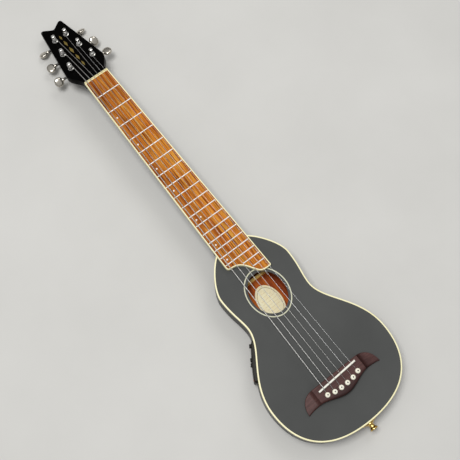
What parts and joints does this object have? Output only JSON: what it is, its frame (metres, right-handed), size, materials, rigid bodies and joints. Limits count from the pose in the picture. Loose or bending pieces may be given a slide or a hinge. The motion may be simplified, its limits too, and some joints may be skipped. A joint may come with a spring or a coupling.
{
  "type": "travel guitar",
  "caption": "Small steel-string travel guitar with a figure-eight body, oval soundhole, long bound neck, forked headstock, geared tuners, side preamp and endpin jack.",
  "frame": {"origin": "on the outside of the back plate, under the middle of the saddle, on the centre line", "axes": "+X to the treble side, +Y along the neck to the headstock, +Z out of the soundboard"},
  "size_m": [0.213, 0.8508, 0.0672],
  "materials": {
    "charcoal_lacquer": "satin charcoal lacquer over spruce",
    "black_lacquer": "gloss black lacquer over mahogany",
    "cream_plastic": "cream binding plastic, polished flush",
    "mahogany": "bare reddish-brown mahogany",
    "spruce": "bare pale spruce",
    "rosewood": "dark reddish-brown, oiled",
    "orange_rosewood": "orange-brown with dark streaks, oiled",
    "nickel": "polished nickel silver fret wire",
    "chrome": "chrome plate",
    "gold_plate": "polished gold-coloured plate",
    "string_steel": "plain and wound steel",
    "pearl": "pale pearl dots",
    "bone": "polished white bone-coloured plastic",
    "black_plastic": "black moulded plastic"
  },
  "bodies": {
    "guitar": {"soundboard": "charcoal_lacquer", "back_plate": "mahogany", "bass_side": "black_lacquer", "treble_side": "black_lacquer", "neck_block": "mahogany", "tail_block": "mahogany", "top_lining": "spruce", "back_lining": "spruce", "top_binding": "cream_plastic", "rosette": "cream_plastic", "top_bracing": "spruce", "back_brace_upper": "spruce", "back_brace_middle": "spruce", "back_brace_lower": "spruce", "bridge_plate": "mahogany", "bridge": "rosewood", "saddle": "bone", "neck": "black_lacquer", "truss_rod": "string_steel", "fingerboard": "orange_rosewood", "fingerboard_binding": "cream_plastic", "frets": "nickel", "dot_inlays": "pearl", "nut": "bone", "preamp": "black_plastic", "endpin_jack": "gold_plate", "endpin_plate": "gold_plate", "bridge_pin_1": "cream_plastic", "string_1": "string_steel", "tuner_1_housing": "chrome", "bridge_pin_2": "cream_plastic", "string_2": "string_steel", "tuner_2_housing": "chrome", "bridge_pin_3": "cream_plastic", "string_3": "string_steel", "tuner_3_housing": "chrome", "bridge_pin_4": "cream_plastic", "string_4": "string_steel", "tuner_4_housing": "chrome", "bridge_pin_5": "cream_plastic", "string_5": "string_steel", "tuner_5_housing": "chrome", "bridge_pin_6": "cream_plastic", "string_6": "string_steel", "tuner_6_housing": "chrome"},
    "post_1": {"tuner_1_post": "chrome"},
    "button_1": {"tuner_1_button": "chrome"},
    "post_2": {"tuner_2_post": "chrome"},
    "button_2": {"tuner_2_button": "chrome"},
    "post_3": {"tuner_3_post": "chrome"},
    "button_3": {"tuner_3_button": "chrome"},
    "post_4": {"tuner_4_post": "chrome"},
    "button_4": {"tuner_4_button": "chrome"},
    "post_5": {"tuner_5_post": "chrome"},
    "button_5": {"tuner_5_button": "chrome"},
    "post_6": {"tuner_6_post": "chrome"},
    "button_6": {"tuner_6_button": "chrome"},
    "volume_knob": {"preamp_knob_volume": "black_plastic"},
    "bass_knob": {"preamp_knob_bass": "black_plastic"},
    "treble_knob": {"preamp_knob_treble": "black_plastic"}
  },
  "joints": [
    {"name": "button_1_turn", "type": "hinge", "parent": "guitar", "child": "button_1", "pos_m": [0.0217, 0.6576, 0.00771], "axis": [1, 0, 0], "continuous": true},
    {"name": "post_1_turn", "type": "hinge", "parent": "guitar", "child": "post_1", "pos_m": [0.0217, 0.65628, 0.02721], "axis": [0, 0.2419, 0.9703], "continuous": true},
    {"name": "button_2_turn", "type": "hinge", "parent": "guitar", "child": "button_2", "pos_m": [0.0164, 0.69195, -0.00085], "axis": [1, 0, 0], "continuous": true},
    {"name": "post_2_turn", "type": "hinge", "parent": "guitar", "child": "post_2", "pos_m": [0.0164, 0.69062, 0.01865], "axis": [0, 0.2419, 0.9703], "continuous": true},
    {"name": "button_3_turn", "type": "hinge", "parent": "guitar", "child": "button_3", "pos_m": [0.0111, 0.72629, -0.00942], "axis": [1, 0, 0], "continuous": true},
    {"name": "post_3_turn", "type": "hinge", "parent": "guitar", "child": "post_3", "pos_m": [0.0111, 0.72497, 0.01008], "axis": [0, 0.2419, 0.9703], "continuous": true},
    {"name": "button_4_turn", "type": "hinge", "parent": "guitar", "child": "button_4", "pos_m": [-0.0111, 0.72629, -0.00942], "axis": [-1, 0, 0], "continuous": true},
    {"name": "post_4_turn", "type": "hinge", "parent": "guitar", "child": "post_4", "pos_m": [-0.0111, 0.72497, 0.01008], "axis": [0, 0.2419, 0.9703], "continuous": true},
    {"name": "button_5_turn", "type": "hinge", "parent": "guitar", "child": "button_5", "pos_m": [-0.0164, 0.69195, -0.00085], "axis": [-1, 0, 0], "continuous": true},
    {"name": "post_5_turn", "type": "hinge", "parent": "guitar", "child": "post_5", "pos_m": [-0.0164, 0.69062, 0.01865], "axis": [0, 0.2419, 0.9703], "continuous": true},
    {"name": "button_6_turn", "type": "hinge", "parent": "guitar", "child": "button_6", "pos_m": [-0.0217, 0.6576, 0.00771], "axis": [-1, 0, 0], "continuous": true},
    {"name": "post_6_turn", "type": "hinge", "parent": "guitar", "child": "post_6", "pos_m": [-0.0217, 0.65628, 0.02721], "axis": [0, 0.2419, 0.9703], "continuous": true},
    {"name": "volume_knob_turn", "type": "hinge", "parent": "guitar", "child": "volume_knob", "pos_m": [-0.06792, 0.11193, 0.022], "axis": [-0.8336, 0.5523, 0], "range_deg": [-150, 150]},
    {"name": "bass_knob_turn", "type": "hinge", "parent": "guitar", "child": "bass_knob", "pos_m": [-0.07935, 0.09468, 0.022], "axis": [-0.8336, 0.5523, 0], "range_deg": [-150, 150]},
    {"name": "treble_knob_turn", "type": "hinge", "parent": "guitar", "child": "treble_knob", "pos_m": [-0.08349, 0.08842, 0.022], "axis": [-0.8336, 0.5523, 0], "range_deg": [-150, 150]}
  ],
  "couplings": [
    {"joint": "post_1_turn", "follows": "button_1_turn", "ratio": 0.071429},
    {"joint": "post_2_turn", "follows": "button_2_turn", "ratio": 0.071429},
    {"joint": "post_3_turn", "follows": "button_3_turn", "ratio": 0.071429},
    {"joint": "post_4_turn", "follows": "button_4_turn", "ratio": -0.071429},
    {"joint": "post_5_turn", "follows": "button_5_turn", "ratio": -0.071429},
    {"joint": "post_6_turn", "follows": "button_6_turn", "ratio": -0.071429}
  ]
}
